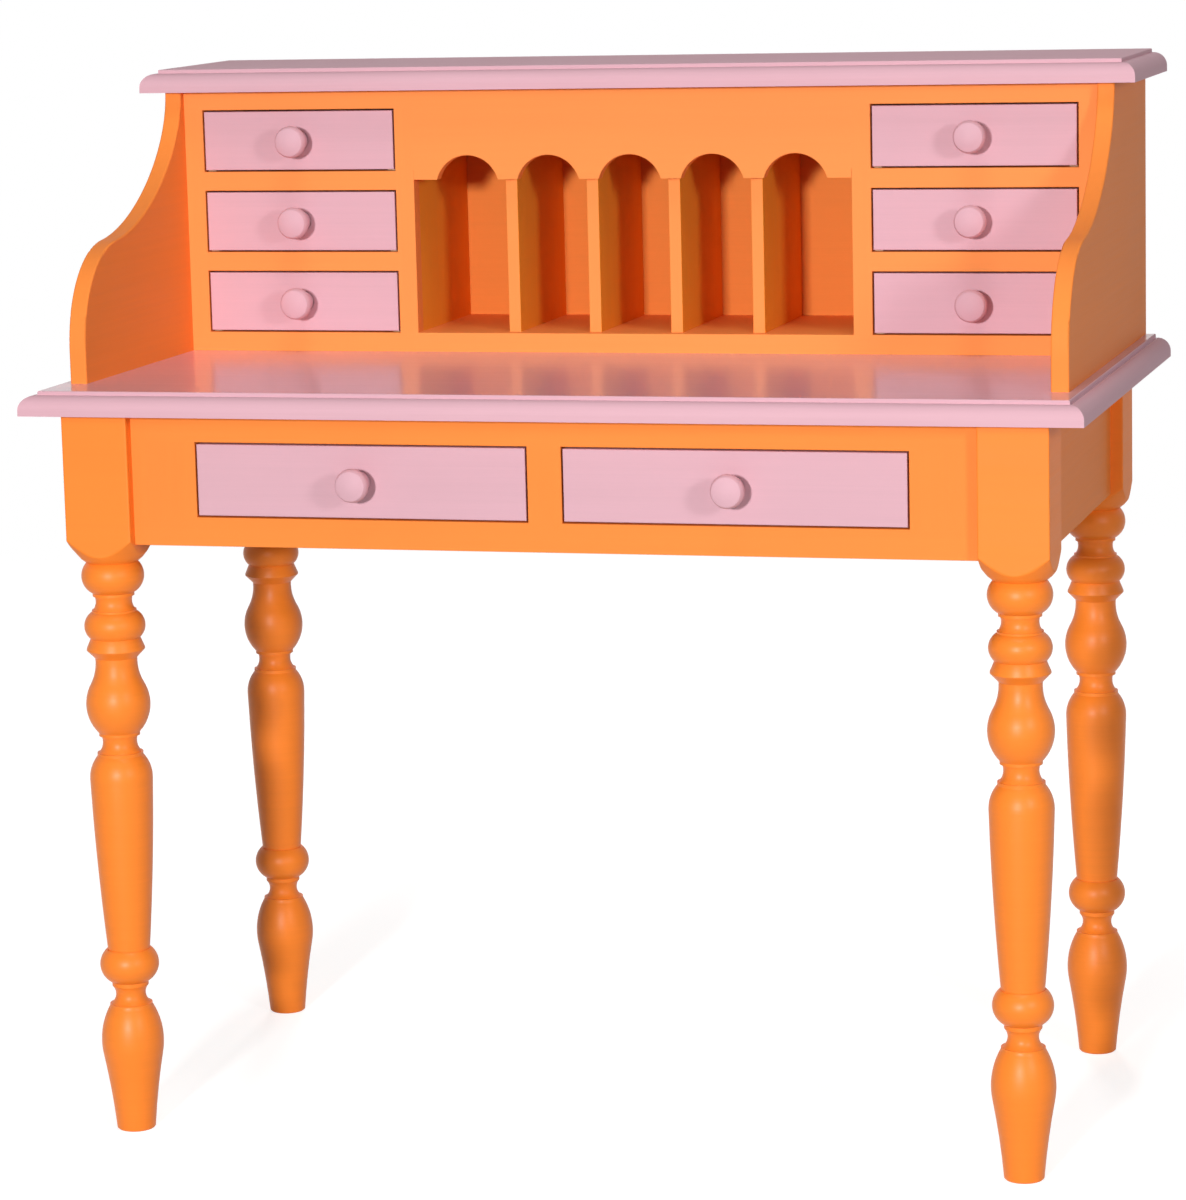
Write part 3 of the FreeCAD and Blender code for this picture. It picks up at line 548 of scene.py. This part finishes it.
def turning_tree():
    """Turns an outline of radii and heights about its axis, inside square stock."""
    sheet = ShapeSheet("turned_from_square_stock", {
        "Facets": "Int", "Across Flats": "Float", "Corner Power": "Float", "Turn": "Rotation",
        "Place": "Vector", "Finish": "Material"})
    outline = sheet.given("Geometry")
    count = sheet.node("GeometryNodeAttributeDomainSize", {"component": "MESH"},
                       {"Geometry": outline}, out="Point Count")
    grid = sheet.node("GeometryNodeMeshGrid", {}, {
        "Size X": GRID_SIZE, "Size Y": GRID_SIZE, "Vertices X": sheet.given("Facets") + 1,
        "Vertices Y": count})
    position = sheet.node("GeometryNodeInputPosition")
    across, up, _ = sheet.axes(position)
    row = sheet.node("FunctionNodeFloatToInt", {"rounding_mode": "ROUND"},
                     {0: (up + GRID_SIZE / 2) * (count - 1)})
    ring = sheet.node("GeometryNodeSampleIndex", {"data_type": "FLOAT_VECTOR", "domain": "POINT"},
                      {"Geometry": outline, "Value": position, "Index": row})
    radius, _, height = sheet.axes(ring)
    # The facets crowd towards the corners of the square, where the arris is
    even = (across + GRID_SIZE / 2) * math.tau
    angle = even + even.math("SINE", even * SQUARE_SIDES) * (FACET_CROWDING / SQUARE_SIDES)
    cosine = angle.math("COSINE", angle)
    sine = angle.math("SINE", angle)
    power = sheet.given("Corner Power")
    spread = (abs(cosine) ** power + abs(sine) ** power) ** (1 / power)
    reach = radius.math("MINIMUM", radius, sheet.given("Across Flats") / 2.0 / spread)
    shaped = sheet.node("GeometryNodeSetPosition", {}, {
        "Geometry": grid,
        "Position": sheet.node("ShaderNodeCombineXYZ", {}, {"X": reach * cosine, "Y": reach * sine,
                                                            "Z": height})})
    closed = sheet.node("GeometryNodeMergeByDistance", {}, {"Geometry": shaped, "Distance": WELD})
    smooth = sheet.node("GeometryNodeSetShadeSmooth", {"domain": "FACE"},
                        {"Geometry": closed, "Shade Smooth": True})
    bend = sheet.node("GeometryNodeInputMeshEdgeAngle", out="Unsigned Angle")
    creased = sheet.node("GeometryNodeSetShadeSmooth", {"domain": "EDGE"},
                         {"Geometry": smooth, "Selection": bend > CREASE, "Shade Smooth": False})
    placed = sheet.node("GeometryNodeTransform", {}, {
        "Geometry": creased, "Translation": sheet.given("Place"), "Rotation": sheet.given("Turn")})
    return sheet.close(placed)


def screw_tree():
    """Sets one screw, with a cross recess in its head, at every given point."""
    sheet = ShapeSheet("countersunk_screws", {
        "Screw": "Object", "Recess Length": "Float", "Recess Width": "Float", "Recess Depth": "Float",
        "Finish": "Material"})
    screw = sheet.node("GeometryNodeObjectInfo", {"transform_space": "ORIGINAL"},
                       {"Object": sheet.given("Screw")}, out="Geometry")
    long = sheet.given("Recess Length")
    wide = sheet.given("Recess Width")
    # The boxes are centred on the face of the head, so only half of their depth is in the screw
    depth = sheet.given("Recess Depth") * 2.0
    slots = []
    for x, y in ((long, wide), (wide, long)):
        size = sheet.node("ShaderNodeCombineXYZ", {}, {"X": x, "Y": y, "Z": depth})
        slots.append(sheet.node("GeometryNodeMeshCube", {}, {"Size": size}))
    for slot in slots:
        screw = sheet.node("GeometryNodeMeshBoolean", {"operation": "DIFFERENCE", "solver": "EXACT"},
                           {"Mesh 1": screw, "Mesh 2": slot})
    clean = sheet.node("GeometryNodeMergeByDistance", {}, {"Geometry": screw, "Distance": WELD})
    rows = sheet.node("GeometryNodeInstanceOnPoints", {}, {"Points": sheet.given("Geometry"),
                                                           "Instance": clean})
    return sheet.close(rows)


def mesh_object(name, points):
    """A new object that has only points so far."""
    mesh = bpy.data.meshes.new(name)
    mesh.from_pydata(points, [], [])
    made = bpy.data.objects.new(name, mesh)
    bpy.context.scene.collection.objects.link(made)
    return made


def settled(made):
    """The piece with its modifiers turned into a plain mesh."""
    evaluated = made.evaluated_get(bpy.context.evaluated_depsgraph_get())
    mesh = bpy.data.meshes.new_from_object(evaluated)
    made.modifiers.clear()
    made.data = mesh
    mesh.name = made.name
    return made


def grown(tree, name, points, **sizes):
    """A piece made by a tree from its starting points and named sizes."""
    made = mesh_object(name, points)
    modifier = made.modifiers.new(tree.name, "NODES")
    modifier.node_group = tree
    for socket in tree.interface.items_tree:
        if socket.in_out == "INPUT" and socket.name != "Geometry":
            modifier[socket.identifier] = sizes[socket.name.replace(" ", "_").lower()]
    return settled(made)


def stand_for(piece, node):
    """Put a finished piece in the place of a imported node."""
    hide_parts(node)
    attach(piece, carried_by[node])


def thinned(points):
    """The fewest points whose straight runs stay close to all of them."""
    run = points[-1] - points[0]
    off = [abs(run.cross(point - points[0])) / run.length for point in points]
    worst = max(range(len(points)), key=off.__getitem__)
    if off[worst] < OUTLINE_SLACK:
        return [points[0], points[-1]]
    return thinned(points[:worst + 1])[:-1] + thinned(points[worst:])


def turned_outline(node, foot, axis, reach):
    """The radii and heights of a turned node along its axis, from its foot up to a reach."""
    found = set()
    for vertex in frame["nodes"][node].data.vertices:
        offset = vertex.co - foot
        height = offset.dot(axis)
        if height <= reach + SAME_PLACE:
            radius = (offset - axis * height).length
            found.add((round(height, HEIGHT_DIGITS), round(radius, PLACE_DIGITS)))
    path = [Vector((0.0, 0.0))]
    for height in sorted({height for height, _ in found}):
        level = sorted(radius for h, radius in found if h == height)
        nearest_first = level if path[-1].x <= level[0] else level[::-1]
        path += [Vector((radius, height)) for radius in (nearest_first[0], nearest_first[-1])]
    path = [point for point, before in zip(path[1:], path) if (point - before).length > SAME_PLACE]
    return thinned([Vector((0.0, path[0].y))] + path if path[0].x > SAME_PLACE else path)


def middle_of(node):
    """The middle of a node's box, and its two corners."""
    low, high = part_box(node)
    return (Vector(low) + Vector(high)) / 2, Vector(low), Vector(high)


def turned_leg(turning, node):
    """A leg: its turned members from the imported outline, then the pommel and the square block."""
    middle, low, high = middle_of(node)
    square = high.x - low.x
    foot = Vector((middle.x, middle.y, low.z))
    turned_height = high.z - low.z - BLOCK_HEIGHT
    outline = turned_outline(node, foot, Vector((0, 0, 1)), turned_height)
    neck = outline[-1]
    corner = square / math.sqrt(2) + POMMEL_OVERRUN
    for step in range(1, POMMEL_STEPS + 1):
        share = step / POMMEL_STEPS
        outline.append(neck + Vector((corner - neck.x, POMMEL_HEIGHT)) * share)
    top = high.z - low.z
    outline += [Vector((corner, top)), Vector((0.0, top))]
    piece = grown(turning, node + "_turned", [(p.x, 0.0, p.y) for p in outline],
                  facets=LEG_FACETS, across_flats=square, corner_power=CORNER_POWER,
                  turn=UPRIGHT, place=foot, finish=orange_turned)
    stand_for(piece, node)


def turned_knob(turning, node):
    """A knob, turned about the axis that points to the front."""
    middle, low, high = middle_of(node)
    foot = Vector((middle.x, high.y, middle.z))
    outline = turned_outline(node, foot, Vector((0, -1, 0)), high.y - low.y)
    piece = grown(turning, node + "_turned", [(p.x, 0.0, p.y) for p in outline],
                  facets=KNOB_FACETS, across_flats=ROUND_STOCK, corner_power=ROUND_POWER,
                  turn=TO_THE_FRONT, place=foot, finish=pink_turned)
    stand_for(piece, node)


def screw_row(turning, setting, node):
    """All the screws of one node, each with its head at the place of a packed one."""
    _, low, high = middle_of(node)
    heads = []
    for vertex in frame["nodes"][node].data.vertices:
        spot = Vector((vertex.co.x, vertex.co.y, low.z))
        if (vertex.co - spot).length < SAME_PLACE:
            for head in heads:
                if (head[0] - spot).length < SCREW_ROOM:
                    head.append(spot)
                    break
            else:
                heads.append([spot])
    places = [sum(head, Vector()) / len(head) for head in heads]
    length = high.z - low.z
    outline = [(0.0, 0.0), (SCREW_HEAD_RADIUS, 0.0), (SCREW_SHANK_RADIUS, SCREW_HEAD_HEIGHT),
               (SCREW_SHANK_RADIUS, length - SCREW_SHANK_RADIUS), (0.0, length)]
    screw = grown(turning, "one_screw", [(r, 0.0, h) for r, h in outline], facets=SCREW_FACETS,
                  across_flats=ROUND_STOCK, corner_power=ROUND_POWER, turn=UPRIGHT,
                  place=(0.0, 0.0, 0.0), finish=zinc)
    piece = grown(setting, node + "_recessed", places, screw=screw, recess_length=RECESS_LENGTH,
                  recess_width=RECESS_WIDTH, recess_depth=RECESS_DEPTH, finish=zinc)
    bpy.data.objects.remove(screw)
    stand_for(piece, node)


def surface_of(node):
    """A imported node's surface, to measure distances from."""
    mesh = frame["nodes"][node].data
    return BVHTree.FromPolygons([v.co for v in mesh.vertices], [p.vertices for p in mesh.polygons])


def ease_arrises(piece, shape, neighbours, ease, shortest):
    """Soften the outer arrises that no neighbour touches, and turn the shape into the piece."""
    weight = shape.edges.layers.float.new("bevel_weight_edge")
    for edge in shape.edges:
        outer = len(edge.link_faces) == 2 and edge.is_convex
        if outer and edge.calc_face_angle() > ARRIS_ANGLE and edge.calc_length() > shortest:
            middle = (edge.verts[0].co + edge.verts[1].co) / 2
            free = all(near.find_nearest(middle, TOUCHING)[0] is None for near in neighbours)
            edge[weight] = 1.0 if free else 0.0
    for face in shape.faces:
        face.smooth = False
    shape.to_mesh(piece.data)
    shape.free()
    bevel = piece.modifiers.new("arris", "BEVEL")
    bevel.limit_method = "WEIGHT"
    bevel.width = ease
    bevel.segments = ARRIS_STEPS
    bevel.use_clamp_overlap = False
    settled(piece)


def closed_boards(node):
    """A node's boards, which may touch, each as a closed shape of its own with whole faces."""
    shape = bmesh.new()
    mesh = frame["nodes"][node].data
    corners = {}
    open_sides = set()
    for triangle in mesh.polygons:
        ring = []
        for index in triangle.vertices:
            spot = tuple(round(value, PLACE_DIGITS) for value in mesh.vertices[index].co)
            if spot not in corners:
                corners[spot] = shape.verts.new(spot)
            ring.append(corners[spot])
        if len(set(ring)) < 3:
            continue
        for side in zip(ring, ring[1:] + ring[:1]):
            if side[::-1] in open_sides:
                open_sides.remove(side[::-1])
            else:
                open_sides.add(side)
        shape.faces.new(ring)
        # The triangles come board by board, so a board is whole when no side is left open
        if not open_sides:
            corners = {}
    shape.normal_update()
    bmesh.ops.dissolve_limit(shape, angle_limit=FLAT_ANGLE, verts=shape.verts, edges=shape.edges)
    return shape


def looks_back(face):
    return face.normal.y > LOOKS_SQUARE


def eased_board(node, neighbours, ease, other=None, takes_other=None):
    """A node's boards with their free arrises softened. Some faces can take another finish."""
    shape = closed_boards(node)
    for face in shape.faces:
        face.material_index = 1 if other and takes_other(face) else 0
    piece = mesh_object(node + "_eased", [])
    ease_arrises(piece, shape, neighbours, ease, SHORTEST_ARRIS)
    piece.data.materials.clear()
    for finish in (finish_of[node], other):
        if finish:
            piece.data.materials.append(finish)
    stand_for(piece, node)


def eased_box(node):
    """A drawer box: the grain runs along the sides, and across on the board at the back."""
    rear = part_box(node)[1][1]

    def at_rear(face):
        return face.calc_center_median().y > rear - REAR_BOARD_ZONE

    eased_board(node, [], BOX_EASE, other=pine_front, takes_other=at_rear)


def seamless_frame(name, nodes, neighbours, ease):
    """Rails and stiles under one coat of paint, drawn as cells of a grid with no joints showing."""
    boxes = [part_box(node) for node in nodes]
    front = min(low[1] for low, _ in boxes)
    back = max(high[1] for _, high in boxes)
    flush = [vertex.co for node in nodes for vertex in frame["nodes"][node].data.vertices
             if vertex.co.y < front + SAME_PLACE]
    across = sorted({round(co.x, PLACE_DIGITS) for co in flush})
    up = sorted({round(co.z, PLACE_DIGITS) for co in flush})
    surfaces = [surface_of(node) for node in nodes]
    shape = bmesh.new()
    corners = {}

    def corner(i, j, y):
        if (i, j, y) not in corners:
            corners[i, j, y] = shape.verts.new((across[i], y, up[j]))
        return corners[i, j, y]

    board_of = {}
    for i in range(len(across) - 1):
        for j in range(len(up) - 1):
            start = Vector(((across[i] + across[i + 1]) / 2, front - PROBE_START,
                            (up[j] + up[j + 1]) / 2))
            for index, surface in enumerate(surfaces):
                hit = surface.ray_cast(start, Vector((0, 1, 0)), PROBE_REACH)
                if hit[0] is not None:
                    board_of[i, j] = index
    for (i, j), board in board_of.items():
        square = [(i, j), (i + 1, j), (i + 1, j + 1), (i, j + 1)]
        sides = [((i, j - 1), 0), ((i + 1, j), 1), ((i, j + 1), 2), ((i - 1, j), 3)]
        rings = [[corner(*p, front) for p in square], [corner(*p, back) for p in reversed(square)]]
        for beside, k in sides:
            if beside not in board_of:
                first, second = square[k], square[(k + 1) % 4]
                rings.append([corner(*second, front), corner(*first, front),
                              corner(*first, back), corner(*second, back)])
        for ring in rings:
            shape.faces.new(ring).material_index = board
    bmesh.ops.recalc_face_normals(shape, faces=shape.faces)
    piece = mesh_object(name, [])
    for node in nodes:
        piece.data.materials.append(finish_of[node])
    ease_arrises(piece, shape, neighbours, ease, 0.0)
    for node in nodes:
        stand_for(piece, node)


def paint_packed(node, finish):
    """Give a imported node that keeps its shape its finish."""
    for slot in frame["nodes"][node].material_slots:
        slot.material = finish


def dress_desk():
    """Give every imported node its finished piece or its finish."""
    turning = turning_tree()
    setting = screw_tree()
    desk_frame = ["apron_front_rails", "apron_front_stiles"]
    hutch_frame = ["hutch_top_rail", "hutch_bottom_rail", "hutch_stiles", "hutch_drawer_rails"]
    carcass = {node: surface_of(node) for node, body in carried_by.items() if body == "carcass"}

    def beside(*nodes):
        return [surface for other, surface in carcass.items() if other not in nodes]

    seamless_frame("desk_front_frame", desk_frame, beside(*desk_frame), FRAME_EASE)
    seamless_frame("hutch_front_frame", hutch_frame, beside(*hutch_frame), FRAME_EASE)
    for node in sorted(carried_by):
        if node.startswith("leg_"):
            turned_leg(turning, node)
        elif node.endswith("_knob"):
            turned_knob(turning, node)
        elif node.endswith("_screws"):
            screw_row(turning, setting, node)
        elif node in ("apron_left", "apron_right", "apron_rear"):
            eased_board(node, beside(node), FRAME_EASE)
        elif node == "hutch_back":
            # The back's front and edges take the darker orange, a painted shade; its rear face takes
            # the plain orange
            eased_board(node, beside(node), FRAME_EASE, other=orange_rail, takes_other=looks_back)
        elif node.endswith("_front"):
            eased_board(node, [], FRONT_EASE, other=pine_front, takes_other=looks_back)
        elif node.endswith("_box"):
            eased_box(node)
        elif node not in desk_frame + hutch_frame:
            paint_packed(node, finish_of[node])


def photo_camera():
    lens = bpy.data.cameras.new("photo_camera")
    lens.sensor_width = SENSOR
    lens.lens = CAMERA_FOCAL_PIXELS / PICTURE_HEIGHT * SENSOR
    camera = bpy.data.objects.new("photo_camera", lens)
    camera.matrix_world = (Matrix.Translation(CAMERA_PLACE)
                           @ Matrix.Rotation(CAMERA_AZIMUTH, 4, "Z")
                           @ Matrix.Rotation(math.pi / 2 - CAMERA_ELEVATION, 4, "X")
                           @ Matrix.Rotation(CAMERA_ROLL, 4, "Z"))
    bpy.context.scene.collection.objects.link(camera)
    bpy.context.scene.camera = camera


def softbox(name, azimuth, elevation, distance, size, share, in_gloss=True):
    """A square lamp that gives a face turned to it the given share of full light."""
    lamp = bpy.data.lights.new(name, "AREA")
    lamp.size = size
    lamp.energy = share * (math.pi * distance) ** 2
    turn, rise = math.radians(azimuth), math.radians(elevation)
    away = Vector((math.sin(turn) * math.cos(rise), -math.cos(turn) * math.cos(rise), math.sin(rise)))
    box = bpy.data.objects.new(name, lamp)
    box.location = Vector(LIGHT_AIM) + away * distance
    box.rotation_euler = away.to_track_quat("Z", "Y").to_euler()
    box.visible_glossy = in_gloss
    bpy.context.scene.collection.objects.link(box)


def seen_directly(sheet):
    """One for the rays that show the backdrop: to the camera, in gloss and through glass."""
    path = sheet.node("ShaderNodeLightPath")
    glossy, through = path.output("Is Glossy Ray"), path.output("Is Transmission Ray")
    return path.math("MAXIMUM", path.math("MAXIMUM", path, glossy), through)


def white_backdrop():
    world = bpy.data.worlds.new("white_backdrop")
    world.use_nodes = True
    bpy.context.scene.world = world
    sheet = Sheet(world.node_tree)
    dim = sheet.node("ShaderNodeBackground", {}, {"Color": WHITE, "Strength": SKY_STRENGTH})
    white = sheet.node("ShaderNodeBackground", {}, {"Color": WHITE, "Strength": BACKDROP_STRENGTH})
    mixed = sheet.node("ShaderNodeMixShader", {}, {0: seen_directly(sheet), 1: dim, 2: white})
    sheet.node("ShaderNodeOutputWorld", {}, {"Surface": mixed})


def pale_floor():
    """A round floor that fades into the white backdrop and keeps the desk's shadow."""
    bpy.ops.mesh.primitive_circle_add(vertices=FLOOR_FACETS, radius=FLOOR_RADIUS, fill_type="NGON")
    floor = bpy.context.object
    floor.name = "pale_floor"
    sheet = FinishSheet("pale_floor")
    distance = sheet.node("ShaderNodeVectorMath", {"operation": "LENGTH"}, {0: sheet.place},
                          out="Value")
    fade = sheet.node("ShaderNodeMapRange", {"interpolation_type": "SMOOTHSTEP"}, {
        "Value": distance, "From Min": FLOOR_FADE_START, "From Max": FLOOR_RADIUS})
    ground = sheet.node("ShaderNodeBsdfDiffuse", {}, {"Color": (FLOOR_ALBEDO,) * 3 + (1.0,)})
    glow = sheet.node("ShaderNodeEmission", {}, {"Color": WHITE, "Strength": FLOOR_GLOW})
    lit = sheet.node("ShaderNodeAddShader", {}, {0: ground, 1: glow})
    shown = sheet.node("ShaderNodeMixShader", {}, {0: seen_directly(sheet), 1: ground, 2: lit})
    clear = sheet.node("ShaderNodeBsdfTransparent")
    faded = sheet.node("ShaderNodeMixShader", {}, {0: fade, 1: shown, 2: clear})
    floor.data.materials.append(sheet.finish(faded))


dress_desk()
photo_camera()
softbox("front_softbox", azimuth=-0.7, elevation=10.0, distance=6.5, size=0.45, share=FRONT_SHARE)
softbox("side_softbox", azimuth=46.0, elevation=15.0, distance=4.2, size=0.60, share=SIDE_SHARE)
softbox("top_softbox", azimuth=20.0, elevation=72.0, distance=3.4, size=1.20, share=TOP_SHARE)
softbox("rear_softbox", azimuth=195.6, elevation=6.0, distance=6.0, size=1.20, share=REAR_SHARE,
        in_gloss=False)
white_backdrop()
pale_floor()
bpy.context.scene.view_settings.view_transform = "Standard"
